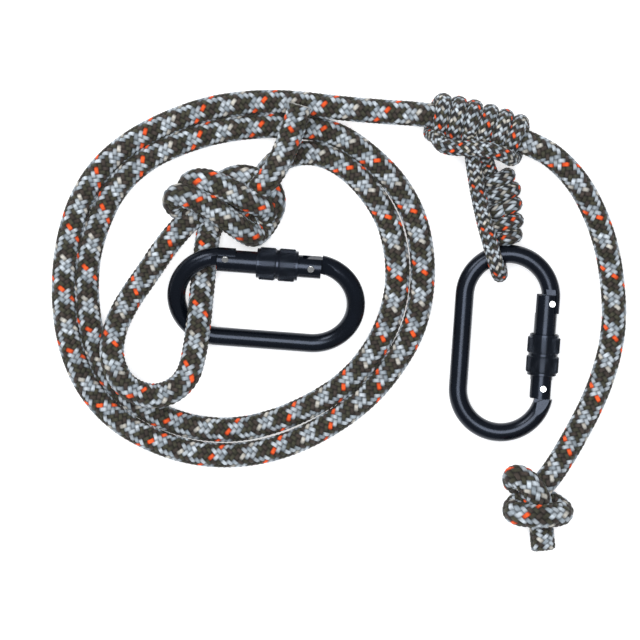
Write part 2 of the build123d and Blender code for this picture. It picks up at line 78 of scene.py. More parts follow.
@dataclass(frozen=True)
class BraidFinish:
    """Woven polyester sheath: each yarn's own colour with painted shade, fine filaments and a
    little fuzz.
    """

    name: str
    filaments: float = 9.0
    roughness: float = 0.72
    bump: float = 0.35

    def material(self) -> bpy.types.Material:
        """Build the node material, which reads the colour, painted shade included, and the yarn's
        own directions.
        """
        material, tree, shader = node_material(self.name)
        nodes, links = tree.nodes, tree.links
        colour = nodes.new("ShaderNodeVertexColor")
        # the 'yarn' layer holds the yarn colours with painted crevice and edge shade multiplied in
        colour.layer_name = "yarn"
        along = nodes.new("ShaderNodeAttribute")
        along.attribute_name = "weave"

        stretch = nodes.new("ShaderNodeVectorMath")
        stretch.operation = "MULTIPLY"
        stretch.inputs[1].default_value = (self.filaments, 0.9, 1.0)
        links.new(along.outputs["Vector"], stretch.inputs[0])
        hairs = nodes.new("ShaderNodeTexNoise")
        hairs.inputs["Scale"].default_value = 2.2
        hairs.inputs["Detail"].default_value = 3.0
        links.new(stretch.outputs[0], hairs.inputs["Vector"])

        place = nodes.new("ShaderNodeTexCoord")
        wear = nodes.new("ShaderNodeTexNoise")
        wear.inputs["Scale"].default_value = 420.0
        wear.inputs["Detail"].default_value = 4.0
        links.new(place.outputs["Object"], wear.inputs["Vector"])
        shade = nodes.new("ShaderNodeMapRange")
        shade.inputs["To Min"].default_value = 0.66
        shade.inputs["To Max"].default_value = 1.30
        links.new(hairs.outputs["Fac"], shade.inputs["Value"])
        patch = nodes.new("ShaderNodeMapRange")
        patch.inputs["From Min"].default_value = 0.3
        patch.inputs["From Max"].default_value = 0.7
        patch.inputs["To Min"].default_value = 0.86
        patch.inputs["To Max"].default_value = 1.14
        links.new(wear.outputs["Fac"], patch.inputs["Value"])
        both = nodes.new("ShaderNodeMath")
        both.operation = "MULTIPLY"
        links.new(shade.outputs[0], both.inputs[0])
        links.new(patch.outputs[0], both.inputs[1])
        tint = nodes.new("ShaderNodeVectorMath")
        tint.operation = "SCALE"
        links.new(colour.outputs["Color"], tint.inputs[0])
        links.new(both.outputs[0], tint.inputs["Scale"])
        links.new(tint.outputs[0], shader.inputs["Base Color"])

        relief = nodes.new("ShaderNodeBump")
        relief.inputs["Strength"].default_value = self.bump
        relief.inputs["Distance"].default_value = 0.00018
        links.new(hairs.outputs["Fac"], relief.inputs["Height"])
        links.new(relief.outputs[0], shader.inputs["Normal"])
        shader.inputs["Roughness"].default_value = self.roughness
        shader.inputs["Sheen Weight"].default_value = 0.10
        shader.inputs["Sheen Roughness"].default_value = 0.5
        shader.inputs["Specular IOR Level"].default_value = 0.22
        return material


@dataclass(frozen=True)
class MetalFinish:
    """A metal part's finish: its colour, how polished it is and how its grain runs."""

    name: str
    colour: Colour
    metallic: float
    roughness: float
    grain: float = 900.0
    bump: float = 0.05
    coat: float = 0.0
    mottling: float = 0.12

    def material(self) -> bpy.types.Material:
        """Build the node material."""
        material, tree, shader = node_material(self.name)
        nodes, links = tree.nodes, tree.links
        place = nodes.new("ShaderNodeTexCoord")
        grain = nodes.new("ShaderNodeTexNoise")
        grain.inputs["Scale"].default_value = self.grain
        grain.inputs["Detail"].default_value = 5.0
        links.new(place.outputs["Object"], grain.inputs["Vector"])
        cloud = nodes.new("ShaderNodeTexNoise")
        cloud.inputs["Scale"].default_value = 70.0
        cloud.inputs["Detail"].default_value = 2.0
        links.new(place.outputs["Object"], cloud.inputs["Vector"])

        tone = nodes.new("ShaderNodeValToRGB")
        low = [c * (1 - self.mottling) for c in self.colour]
        high = [min(1.0, c * (1 + self.mottling)) for c in self.colour]
        tone.color_ramp.elements[0].position = 0.35
        tone.color_ramp.elements[0].color = (*low, 1)
        tone.color_ramp.elements[1].position = 0.65
        tone.color_ramp.elements[1].color = (*high, 1)
        links.new(cloud.outputs["Fac"], tone.inputs["Fac"])
        links.new(tone.outputs["Color"], shader.inputs["Base Color"])

        rough = nodes.new("ShaderNodeMapRange")
        rough.inputs["From Min"].default_value = 0.3
        rough.inputs["From Max"].default_value = 0.7
        rough.inputs["To Min"].default_value = self.roughness * 0.8
        rough.inputs["To Max"].default_value = self.roughness * 1.25
        links.new(grain.outputs["Fac"], rough.inputs["Value"])
        links.new(rough.outputs[0], shader.inputs["Roughness"])
        relief = nodes.new("ShaderNodeBump")
        relief.inputs["Strength"].default_value = self.bump
        relief.inputs["Distance"].default_value = 0.0001
        links.new(grain.outputs["Fac"], relief.inputs["Height"])
        links.new(relief.outputs[0], shader.inputs["Normal"])
        shader.inputs["Metallic"].default_value = self.metallic
        shader.inputs["Coat Weight"].default_value = self.coat
        shader.inputs["Coat Roughness"].default_value = 0.18
        return material


@dataclass(frozen=True)
class FloorFinish:
    """A plain pale light table, very slightly uneven in tone, which leaves hardly a shadow."""

    name: str = "pale_floor"
    colour: Colour = (0.86, 0.86, 0.86)
    glow: float = 0.50

    def material(self) -> bpy.types.Material:
        """Build the node material."""
        material, tree, shader = node_material(self.name)
        nodes, links = tree.nodes, tree.links
        place = nodes.new("ShaderNodeTexCoord")
        cloud = nodes.new("ShaderNodeTexNoise")
        cloud.inputs["Scale"].default_value = 3.0
        links.new(place.outputs["Object"], cloud.inputs["Vector"])
        tone = nodes.new("ShaderNodeValToRGB")
        tone.color_ramp.elements[0].color = (*[c * 0.985 for c in self.colour], 1)
        tone.color_ramp.elements[1].color = (*self.colour, 1)
        links.new(cloud.outputs["Fac"], tone.inputs["Fac"])
        links.new(tone.outputs["Color"], shader.inputs["Base Color"])
        shader.inputs["Roughness"].default_value = 0.9
        shader.inputs["Emission Color"].default_value = (1, 1, 1, 1)
        shader.inputs["Emission Strength"].default_value = self.glow
        return material


# ---------------------------------------------------------------- mesh helpers
def mesh_piece(
    name: str,
    points: np.ndarray,
    quads: np.ndarray,
    material: bpy.types.Material,
    smooth: bool = True,
) -> bpy.types.Object:
    """Make a mesh object from arrays.

    Args:
        name: the piece's name.
        points: one row per vertex, in metres.
        quads: one row of four vertex numbers per face; a triangle repeats its last one.
        material: the finish.
        smooth: shade the faces smooth.

    Returns:
        The new object, linked to the scene.
    """
    mesh = bpy.data.meshes.new(name)
    mesh.from_pydata(points.tolist(), [], [tuple(dict.fromkeys(q)) for q in quads.tolist()])
    mesh.polygons.foreach_set("use_smooth", [smooth] * len(mesh.polygons))
    mesh.materials.append(material)
    mesh.update()
    piece = bpy.data.objects.new(name, mesh)
    bpy.context.scene.collection.objects.link(piece)
    return piece


def grid_quads(rings: int, around: int) -> np.ndarray:
    """Faces between the rings of a closed tube."""
    ring = np.arange(rings - 1)[:, None] * around
    step = np.arange(around)[None, :]
    after = (step + 1) % around
    return np.stack(
        [ring + step, ring + after, ring + around + after, ring + around + step], axis=-1
    ).reshape(-1, 4)


def spline_points(name: str, points: list[Point]) -> np.ndarray:
    """Read a smooth route back as closely spaced points.

    Args:
        name: a name for the passing curve.
        points: the route's control points, in metres.

    Returns:
        Points along the order-3 NURBS spline through the route.
    """
    curve = bpy.data.curves.new(f"{name}_route", "CURVE")
    curve.dimensions = "3D"
    curve.resolution_u = 24
    spline = curve.splines.new("NURBS")
    spline.points.add(len(points) - 1)
    for spot, point in zip(spline.points, points):
        spot.co = (*point, 1.0)
    spline.order_u = 3
    spline.use_endpoint_u = True
    holder = bpy.data.objects.new(f"{name}_route", curve)
    bpy.context.scene.collection.objects.link(holder)
    bpy.context.view_layer.update()
    mesh = bpy.data.meshes.new_from_object(holder)
    flat = np.empty(len(mesh.vertices) * 3)
    mesh.vertices.foreach_get("co", flat)
    bpy.data.objects.remove(holder)
    bpy.data.meshes.remove(mesh)
    return flat.reshape(-1, 3)


class Line:
    """A smooth line with evenly spaced points and frames that never spin about it."""

    def __init__(self, name: str, points: list[Point], step: float) -> None:
        """Resample the route's spline.

        Args:
            name: the line's name.
            points: control points, in metres.
            step: spacing of the line's own points, in metres.
        """
        raw = spline_points(name, points)
        gaps = np.linalg.norm(np.diff(raw, axis=0), axis=1)
        raw = raw[np.concatenate([[True], gaps > 1e-9])]
        run = np.concatenate([[0], np.cumsum(np.linalg.norm(np.diff(raw, axis=0), axis=1))])
        count = int(run[-1] / step) + 1
        self.run = np.linspace(0, run[-1], count)
        self.points = np.stack([np.interp(self.run, run, raw[:, a]) for a in range(3)], axis=1)
        self.along = np.gradient(self.points, axis=0)
        self.along /= np.linalg.norm(self.along, axis=1)[:, None]
        self.side, self.top = self._frames()

    def _frames(self) -> tuple[np.ndarray, np.ndarray]:
        """Carry one frame along the line by double reflection."""
        side = np.empty_like(self.points)
        start = np.cross(self.along[0], (0, 0, 1))
        side[0] = start / np.linalg.norm(start)
        for i in range(len(self.points) - 1):
            gap = self.points[i + 1] - self.points[i]
            share = 2 / (gap @ gap)
            turned = side[i] - share * (gap @ side[i]) * gap
            heading = self.along[i] - share * (gap @ self.along[i]) * gap
            rest = self.along[i + 1] - heading
            size = rest @ rest
            if size >= 1e-18:
                turned = turned - 2 / size * (rest @ turned) * rest
            side[i + 1] = turned / np.linalg.norm(turned)
        return side, np.cross(self.along, side)

    def nearest(self, point: Point, after: float = 0.0) -> int:
        """Number of the line's point nearest to a place, past a given distance along it."""
        gap = np.linalg.norm(self.points - np.array(point), axis=1)
        gap[self.run < after] = 1e9
        return int(np.argmin(gap))


# ---------------------------------------------------------------------- braids
@dataclass(frozen=True)
class Braid:
    """A two-over-two braided sheath on a round rope.

    Sizes are metres.  Right-hand and left-hand strands are listed by colour in turn.
    """

    diameter: float
    lay: float
    right: tuple[Yarn, ...]
    left: tuple[Yarn, ...]
    step: float
    around: int
    swell: float
    hollow: float
    spread: float = 0.16
    dimmest: float = 0.74
    wear: float = 0.50
    # painted shade: how dark the floats' dipping ends and their edges are painted into the colour
    painted_crevice_shade: float = 0.14
    edge_shade: float = 0.34
    roundness: float = 3.7
    floor_gap: float = 0.00005
    seed: int = 3

    @property
    def strands(self) -> int:
        """Strands that run each way."""
        return len(self.right)

    def _palette(self, yarns: tuple[Yarn, ...]) -> np.ndarray:
        """The strands' colours, with a slight difference from strand to strand."""
        random = np.random.default_rng(self.seed)
        shades = np.array([yarn.value for yarn in yarns])
        return shades * random.uniform(1 - self.spread, 1 + self.spread, (len(yarns), 1))

    def surface(self, run: np.ndarray, turn: np.ndarray) -> tuple[np.ndarray, ...]:
        """Height, colour with painted shade, and yarn directions over the sheath.

        Args:
            run: distance along the rope, broadcast with turn.
            turn: turn about the rope, 0 to 1.

        Returns:
            Height above the mean radius, colours with painted shade at the floats' ends and edges,
            and yarn coordinates.
        """
        # u counts the right-hand strands and v the left-hand ones; i and j are the nearest
        n = self.strands
        u = n * (turn - run / self.lay)
        v = n * (turn + run / self.lay)
        i, j = np.round(u), np.round(v)
        across_u, across_v = u - i, v - j

        def crown(across: np.ndarray) -> np.ndarray:
            """A yarn bundle's rounded section."""
            return np.sqrt(np.clip(1 - self.roundness * across ** 2, 0.02, 1)) - 1

        right_rise = np.cos(np.pi / 2 * (i + v - 0.5))
        left_rise = np.cos(np.pi / 2 * (u + j - 2.5))
        right = self.swell * right_rise + self.hollow * crown(across_u)
        left = self.swell * left_rise + self.hollow * crown(across_v)
        over = right >= left
        height = np.where(over, right, left) - self.swell
        right_palette, left_palette = self._palette(self.right), self._palette(self.left)
        colour = np.where(
            over[..., None],
            right_palette[i.astype(int) % n],
            left_palette[j.astype(int) % n],
        )
        # each visible crossing gets its own steady share of wear, mixed from its three numbers
        mixed = np.sin(i * 12.9898 + np.round((v - 0.5) / 2) * 78.233 + j * 3.7) * 43758.5453
        dimmer = self.dimmest + self.wear * (mixed - np.floor(mixed))
        # painted shade: the colour darkens where a float dips under at its ends and towards its
        # edges, as crevice shadow
        rise = np.clip(np.where(over, right_rise, left_rise) * 1.2, 0, 1)
        flank = 1 - (2 * np.where(over, across_u, across_v)) ** 2
        painted_end_shade = self.painted_crevice_shade + (1 - self.painted_crevice_shade) * rise
        edge = self.edge_shade + (1 - self.edge_shade) * np.clip(flank * 2.2, 0, 1)
        # the random wear and the painted shade are multiplied into the colour together
        colour = colour * (dimmer * painted_end_shade * edge)[..., None]
        weave = np.stack(
            [np.where(over, across_u + 7 * i, across_v + 5 * j), np.where(over, v, u), over * 3.0],
            axis=-1,
        )
        return height, colour, weave

    def piece(
        self,
        name: str,
        line: Line,
        first: int,
        last: int,
        finish: bpy.types.Material,
        press: np.ndarray | None = None,
        cap_first: bool = False,
        cap_last: bool = False,
    ) -> bpy.types.Object:
        """Make the braided surface along part of a line.

        Args:
            name: the piece's name.
            line: the whole rope's line.
            first: number of the line's point where the piece starts.
            last: number of the line's point where it ends.
            finish: the sheath's material.
            press: a vector per point of the line, along which the section is flattened by
                the vector's own length, as a share of its thickness.
            cap_first: close the start with a cut end.
            cap_last: close the end with a cut end.

        Returns:
            The new piece.
        """
        part = slice(first, last + 1)
        run = line.run[part][:, None]
        turn = (np.arange(self.around) / self.around)[None, :]
        height, colour, weave = self.surface(run, turn)
        radius = self.diameter / 2 + height
        angle = 2 * np.pi * turn
        out = (
            np.cos(angle)[..., None] * line.side[part][:, None, :]
            + np.sin(angle)[..., None] * line.top[part][:, None, :]
        )
        offset = radius[..., None] * out
        if press is not None:
            push = press[part][:, None, :]
            size = np.linalg.norm(push, axis=-1, keepdims=True) + 1e-9
            offset = offset - push / size * np.sum(offset * push, axis=-1, keepdims=True)
        points = line.points[part][:, None, :] + offset
        points[..., 2] = np.maximum(points[..., 2], self.floor_gap)
        rings = points.shape[0]
        quads = [grid_quads(rings, self.around)]
        points = points.reshape(-1, 3)
        colour, weave = colour.reshape(-1, 3), weave.reshape(-1, 3)
        for wanted, ring, sign in ((cap_first, 0, -1), (cap_last, rings - 1, 1)):
            if not wanted:
                continue
            cap = self._cap(points, ring, line.points[part][ring], line.along[part][ring] * sign)
            quads.append(cap[1] if sign > 0 else cap[1][:, ::-1])
            points = np.concatenate([points, cap[0]])
            colour = np.concatenate([colour, cap[2]])
            weave = np.concatenate([weave, np.tile(cap[0][:, :1] * 900, (1, 3))])
        piece = mesh_piece(name, points, np.concatenate(quads), finish)
        add_colour(piece, colour)
        add_vectors(piece, "weave", weave)
        return piece

    def _cap(
        self, points: np.ndarray, ring: int, centre: np.ndarray, out: np.ndarray
    ) -> tuple[np.ndarray, np.ndarray, np.ndarray]:
        """A cut end: the sheath's rim turned in over a pale, slightly ragged core, with painted
        shade in its lower rows.
        """
        rim = points[ring * self.around:(ring + 1) * self.around]
        random = np.random.default_rng(self.seed + 5)
        base = len(points)
        rows, shades = [], []
        core = np.array(Yarn.CORE.value)
        # each row: its share of the rim's reach, its lift, and its tint; the lower rows get darker
        # tints as painted shade
        for share, lift, tint in ((0.93, 0.05, 0.35), (0.82, 0.07, 0.75), (0.6, 0.09, 1.0),
                                  (0.38, 0.06, 0.9), (0.16, 0.1, 1.0)):
            rough = random.uniform(-0.03, 0.03, (len(rim), 1)) * self.diameter
            rows.append(centre + (rim - centre) * share + out * (lift * self.diameter / 2 + rough))
            tone = random.uniform(0.72, 1.05, (len(rim), 1))
            shades.append(core * tint * tone)
        added = np.concatenate(rows + [centre[None, :] + out * self.diameter * 0.04])
        tones = np.concatenate(shades + [core[None, :]])
        around = self.around
        step = np.arange(around)
        after = (step + 1) % around
        quads = []
        before = ring * around
        for row in range(len(rows)):
            here = base + row * around
            quads.append(np.stack([before + step, before + after, here + after, here + step], 1))
            before = here
        tip = np.full(around, base + len(rows) * around)
        quads.append(np.stack([before + step, before + after, tip, tip], 1))
        return added, np.concatenate(quads), tones


def add_colour(piece: bpy.types.Object, colour: np.ndarray) -> None:
    """Store a colour per vertex."""
    # the colour stored here carries the braid's painted shade along with the yarn colours
    layer = piece.data.color_attributes.new("yarn", "FLOAT_COLOR", "POINT")
    full = np.concatenate([colour, np.ones((len(colour), 1))], axis=1)
    layer.data.foreach_set("color", full.ravel())


def add_vectors(piece: bpy.types.Object, name: str, vectors: np.ndarray) -> None:
    """Store a vector per vertex."""
    layer = piece.data.attributes.new(name, "FLOAT_VECTOR", "POINT")
    layer.data.foreach_set("vector", vectors.ravel())


# ------------------------------------------------------------------- main rope
@dataclass
class MainRope:
    """The braided main rope: cut tail, tied loop, coil, run through the hitch, stopper knot."""

    braid: Braid = field(default_factory=lambda: Braid(
        diameter=0.0140,
        lay=0.0345,
        right=(Yarn.MIST, Yarn.STEEL, Yarn.MIST, Yarn.OLIVE, Yarn.BROWN, Yarn.OLIVE,
               Yarn.MIST, Yarn.MIST, Yarn.STEEL, Yarn.BROWN, Yarn.OLIVE, Yarn.BROWN),
        left=(Yarn.STEEL, Yarn.MIST, Yarn.ORANGE, Yarn.OLIVE, Yarn.BROWN, Yarn.OLIVE,
              Yarn.MIST, Yarn.MIST, Yarn.CREAM, Yarn.BROWN, Yarn.OLIVE, Yarn.OLIVE),
        step=0.00042,
        around=92,
        swell=0.00062,
        hollow=0.00058,
    ))
    slide_centre: Point = (0.0238, -0.0852, 0.0163)
    slide_radius: float = 0.200
    slide_step: float = 6.625
    slide_corners: int = 5

    def tail(self) -> list[Point]:
        """The cut tail, from its end to where it dives into the knot."""
        return [
            (-0.0217, 0.1176, 0.0246), (-0.0267, 0.1009, 0.0243), (-0.0334, 0.0859, 0.0240),
            (-0.0400, 0.0765, 0.0220),
        ]

    def knot_to_loop(self) -> list[Point]:
        """The tail's way through the knot: under, round the lower band and round again."""
        return [
            (-0.0480, 0.0690, 0.0145), (-0.0600, 0.0600, 0.0100), (-0.0740, 0.0585, 0.0080),
            (-0.0845, 0.0600, 0.0080), (-0.0918, 0.0640, 0.0130), (-0.0908, 0.0686, 0.0190),
            (-0.0840, 0.0684, 0.0225), (-0.0755, 0.0648, 0.0226), (-0.0650, 0.0580, 0.0224),
            (-0.0560, 0.0512, 0.0205), (-0.0490, 0.0466, 0.0150), (-0.0450, 0.0478, 0.0085),
            (-0.0395, 0.0556, 0.0080), (-0.0355, 0.0645, 0.0115), (-0.0385, 0.0736, 0.0130),
            (-0.0455, 0.0776, 0.0120), (-0.0545, 0.0799, 0.0130), (-0.0630, 0.0772, 0.0110),
            (-0.0700, 0.0710, 0.0080), (-0.0770, 0.0610, 0.0080),
        ]

    def loop(self) -> list[Point]:
        """The loop that holds the carabiner."""
        return [
            (-0.0851, 0.0540, 0.0085), (-0.0962, 0.0414, 0.0075), (-0.1073, 0.0247, 0.0070),
            (-0.1179, 0.0097, 0.0095), (-0.1254, -0.0070, 0.0170), (-0.1262, -0.0236, 0.0222),
            (-0.1179, -0.0381, 0.0236), (-0.1023, -0.0436, 0.0232), (-0.0880, -0.0380, 0.0240),
            (-0.0795, -0.0236, 0.0246), (-0.0737, 0.0442, 0.0070), (-0.0714, 0.0520, 0.0070),
        ]

    def knot_to_coil(self) -> list[Point]:
        """The loop's other strand through the knot: round the upper band and out."""
        return [
            (-0.0660, 0.0590, 0.0070), (-0.0560, 0.0565, 0.0070), (-0.0455, 0.0552, 0.0070),
            (-0.0400, 0.0580, 0.0110), (-0.0420, 0.0628, 0.0170), (-0.0490, 0.0655, 0.0212),
            (-0.0585, 0.0702, 0.0226), (-0.0690, 0.0756, 0.0226), (-0.0768, 0.0772, 0.0215),
            (-0.0822, 0.0760, 0.0170), (-0.0835, 0.0728, 0.0110), (-0.0780, 0.0690, 0.0078),
            (-0.0690, 0.0665, 0.0072), (-0.0560, 0.0690, 0.0070), (-0.0450, 0.0750, 0.0070),
        ]

    def coil(self) -> list[Point]:
        """Two loose turns on the surface and the rise to the hitch."""
        low = 0.0070
        flat = [
            (-0.0339, 0.0902), (-0.0150, 0.0938), (0.0008, 0.0876), (0.0146, 0.0755),
            (0.0266, 0.0579), (0.0322, 0.0383), (0.0328, 0.0174), (0.0275, -0.0028),
            (0.0176, -0.0209), (0.0036, -0.0361), (-0.0139, -0.0474), (-0.0342, -0.0564),
            (-0.0562, -0.0617), (-0.0781, -0.0609), (-0.0985, -0.0547), (-0.1164, -0.0444),
            (-0.1304, -0.0290), (-0.1378, -0.0086), (-0.1408, 0.0130), (-0.1399, 0.0351),
            (-0.1338, 0.0554), (-0.1241, 0.0744), (-0.1079, 0.0894), (-0.0887, 0.0985),
            (-0.0672, 0.1050), (-0.0449, 0.1078), (-0.0225, 0.1078), (-0.0017, 0.1039),
            (0.0156, 0.0923), (0.0317, 0.0765), (0.0423, 0.0575), (0.0467, 0.0364),
            (0.0464, 0.0147), (0.0417, -0.0058), (0.0311, -0.0247), (0.0172, -0.0417),
            (0.0000, -0.0553), (-0.0195, -0.0662), (-0.0400, -0.0734), (-0.0623, -0.0762),
            (-0.0845, -0.0739), (-0.1051, -0.0667), (-0.1240, -0.0559), (-0.1391, -0.0396),
            (-0.1485, -0.0195), (-0.1529, 0.0020), (-0.1534, 0.0242), (-0.1506, 0.0458),
            (-0.1441, 0.0667), (-0.1327, 0.0847), (-0.1158, 0.0990), (-0.0953, 0.1096),
            (-0.0739, 0.1173), (-0.0512, 0.1209),
        ]
        rise = [(-0.0272, 0.1210, 0.0085), (-0.0033, 0.1176, 0.0140)]
        return [(x, y, low) for x, y in flat] + rise

    def through_hitch(self) -> list[Point]:
        """The arc on which the hitch slides."""
        reach = self.slide_radius / math.cos(math.radians(self.slide_step) / 2)
        x, y, z = self.slide_centre
        turns = [math.radians(self.slide_step * k) for k in range(self.slide_corners)]
        return [(x + reach * math.sin(t), y + reach * math.cos(t), z) for t in turns]

    def right_run(self) -> list[Point]:
        """Down from the hitch to the stopper knot."""
        return [
            (0.1207, 0.0887, 0.0162), (0.1279, 0.0817, 0.0156), (0.1346, 0.0731, 0.0144),
            (0.1407, 0.0620, 0.0124), (0.1462, 0.0489, 0.0100), (0.1501, 0.0348, 0.0080),
            (0.1523, 0.0192, 0.0070), (0.1534, 0.0025, 0.0070), (0.1516, -0.0145, 0.0070),
            (0.1468, -0.0323, 0.0070), (0.1401, -0.0486, 0.0070), (0.1316, -0.0645, 0.0080),
        ]

    def stopper(self) -> list[Point]:
        """The stopper knot and the short end under it."""
        return [
            (0.1235, -0.0780, 0.0105), (0.1165, -0.0880, 0.0130), (0.1090, -0.0960, 0.0130),
            (0.1015, -0.1010, 0.0090), (0.0968, -0.1055, 0.0100), (0.0985, -0.1075, 0.0180),
            (0.1070, -0.1085, 0.0208), (0.1155, -0.1085, 0.0205), (0.1225, -0.1080, 0.0160),
            (0.1240, -0.1065, 0.0095), (0.1190, -0.1030, 0.0070), (0.1110, -0.0990, 0.0070),
            (0.1035, -0.0925, 0.0072), (0.0970, -0.0900, 0.0110), (0.0975, -0.0865, 0.0175),
            (0.1035, -0.0890, 0.0208), (0.1095, -0.0960, 0.0205), (0.1120, -0.1030, 0.0140),
            (0.1122, -0.1100, 0.0090), (0.1128, -0.1190, 0.0074), (0.1137, -0.1276, 0.0070),
        ]

    def build(self, finish: bpy.types.Material) -> list[bpy.types.Object]:
        """Make the rope's pieces along one continuous line.

        Args:
            finish: the sheath's material.

        Returns:
            The pieces, from the cut tail to the other end.
        """
        coil = self.coil()
        route = (self.tail() + self.knot_to_loop() + self.loop() + self.knot_to_coil()
                 + coil + self.through_hitch() + self.right_run() + self.stopper())
        line = Line("main_rope", route, self.braid.step)
        marks = [0]
        for spot in (self.loop()[3], coil[0], coil[13], coil[27], coil[40], coil[53],
                     self.right_run()[0]):
            marks.append(line.nearest(spot, line.run[marks[-1]] + 0.05))
        marks.append(len(line.run) - 1)
        plan = [
            ("tied_loop_tail_half", ["rope_tail", "loop_knot"], "object"),
            ("tied_loop_strand_half", ["loop_strand"], "object"),
            ("coil_inner_right_turn", ["coil_inner_turn_right"], "object"),
            ("coil_inner_left_turn", ["coil_inner_turn_left"], "object"),
            ("coil_outer_right_turn", ["coil_outer_turn_right"], "object"),
            ("coil_outer_left_turn", ["coil_outer_turn_left"], "object"),
            ("run_through_hitch", ["rope_through_hitch"], "object"),
            ("right_run_and_stopper", ["rope_right_run", "stopper_knot", "rope_end"], "bare"),
        ]
        pieces = []
        for (name, nodes, far_end), first, last in zip(plan, marks, marks[1:]):
            ends = {"cap_first": first == 0, "cap_last": last == len(line.run) - 1}
            piece = self.braid.piece(name, line, first, last, finish, **ends)
            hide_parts(*nodes)
            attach(piece, "main_rope")
            LOG.info("%s: %.0f mm", name, 1000 * (line.run[last] - line.run[first]))
            pieces.append(piece)
        LOG.info("main rope: %.0f mm in all", 1000 * line.run[-1])
        return pieces


# ------------------------------------------------------------------ hitch cord
@dataclass
class HitchCord:
    """The thinner cord: wraps on the rope, bridge, legs, bight and the joining knot."""

    rope: MainRope
    braid: Braid = field(default_factory=lambda: Braid(
        diameter=0.0088,
        lay=0.0240,
        right=(Yarn.MIST, Yarn.CHARCOAL, Yarn.STEEL, Yarn.OLIVE, Yarn.MIST, Yarn.BROWN,
               Yarn.MIST, Yarn.CHARCOAL, Yarn.CREAM, Yarn.OLIVE, Yarn.STEEL, Yarn.BROWN),
        left=(Yarn.STEEL, Yarn.BROWN, Yarn.ORANGE, Yarn.CHARCOAL, Yarn.MIST, Yarn.OLIVE,
              Yarn.CREAM, Yarn.CHARCOAL, Yarn.MIST, Yarn.MIST, Yarn.BROWN, Yarn.OLIVE),
        step=0.00030,
        around=96,
        swell=0.00030,
        hollow=0.00042,
        seed=11,
    ))
    grip_radius: float = 0.0109
    flattening: float = 0.18
    grip_reach: float = 0.0140
    grip_fade: float = 0.0020
    first_left: float = 14.25
    first_right: float = 16.66
    spacing: float = 2.41
    turns: int = 3
    corners: int = 8
    barrel_radius: float = 0.0073
    upper_axis: tuple[Point, Point] = ((0.0893, 0.0802, 0.0122), (0.0910, 0.0620, 0.0122))
    lower_axis: tuple[Point, Point] = ((0.0913, 0.0600, 0.0122), (0.0922, 0.0443, 0.0122))

    def wraps(self, heading: float, way: int) -> list[Point]:
        """Turns round the rope, from the front at the leg to the free side.

        Args:
            heading: where the first turn lies on the rope's arc, in degrees.
            way: +1 to move right along the rope, -1 to move left.

        Returns:
            The turns' control points.
        """
        x, y, z = self.rope.slide_centre
        spots = []
        for k in range(1, self.turns * self.corners + 1):
            angle = 2 * math.pi * k / self.corners
            behind = min(1.0, max(0.0, (angle % (2 * math.pi) - math.pi) / math.pi))
            done = math.floor(angle / (2 * math.pi) + 1e-6)
            share = done if abs(angle % (2 * math.pi)) < 1e-6 else done + behind
            share = min(share, self.turns - 0.5)
            turn = math.radians(heading + way * self.spacing * share)
            inner = self.rope.slide_radius - self.grip_radius * math.cos(angle)
            spots.append((x + inner * math.sin(turn), y + inner * math.cos(turn),
                          z + self.grip_radius * math.sin(angle)))
        return spots

    def grip(self, line: Line) -> np.ndarray:
        """How the wraps are flattened against the rope, for each point of the cord's line."""
        centre = np.array(self.rope.slide_centre)
        flat = (line.points - centre) * (1, 1, 0)
        nearest = centre + flat / np.linalg.norm(flat, axis=1)[:, None] * self.rope.slide_radius
        away = line.points - nearest
        reach = np.linalg.norm(away, axis=1)[:, None]
        share = np.clip((self.grip_reach - reach) / self.grip_fade, 0, 1)
        return away / reach * self.flattening * share

    def barrel(
        self, axis: tuple[Point, Point], turns: float, start: float, narrow_first: bool
    ) -> list[Point]:
        """Turns round a short straight axis, for half of the joining knot.

        Args:
            axis: the axis's two ends.
            turns: how many turns.
            start: the first turn's angle from straight up, in degrees.
            narrow_first: the first half turn is the narrow one; otherwise the last is.

        Returns:
            The turns' control points.
        """
        low, high = Vector(axis[0]), Vector(axis[1])
        along = (high - low).normalized()
        up = Vector((0, 0, 1))
        side = along.cross(up).normalized()
        count = int(turns * self.corners)
        spots = []
        for k in range(count + 1):
            angle = math.radians(start) + 2 * math.pi * k / self.corners
            spot = low.lerp(high, k / count)
            reach = self.barrel_radius * min(1.0, 0.6 + 0.1 * (k if narrow_first else count - k))
            spot += (side * math.sin(angle) + up * math.cos(angle)) * reach
            spots.append(tuple(spot))
        return spots

    def tail_and_upper_barrel(self) -> list[Point]:
        """From the upper tail's end round the upper barrel and down inside the lower one."""
        turns = self.barrel(self.upper_axis, 2.25, 250, True)
        return [(0.0790, 0.0645, 0.0054), (0.0815, 0.0700, 0.0060)] + turns + [
            (0.0905, 0.0600, 0.0130), (0.0918, 0.0560, 0.0115), (0.0925, 0.0510, 0.0095),
        ]

    def bight(self) -> list[Point]:
        """From the knot round the carabiner's top bar and up the front leg."""
        return [
            (0.0918, 0.0465, 0.0070),
            (0.0885, 0.0309, 0.0048), (0.0897, 0.0272, 0.0053), (0.0893, 0.0251, 0.0120),
            (0.0888, 0.0247, 0.0198), (0.0866, 0.0303, 0.0260), (0.0837, 0.0405, 0.0270),
            (0.0801, 0.0531, 0.0264), (0.0763, 0.0709, 0.0258), (0.0737, 0.0887, 0.0246),
            (0.0727, 0.0955, 0.0252),
        ]

    def bridge(self) -> list[Point]:
        """Over the wraps, from the left lobe to the right one."""
        return [
            (0.0542, 0.1010, 0.0250), (0.0564, 0.0957, 0.0300), (0.0638, 0.0940, 0.0328),
            (0.0742, 0.0943, 0.0332), (0.0838, 0.0930, 0.0328), (0.0906, 0.0910, 0.0303),
            (0.0946, 0.0886, 0.0250),
        ]

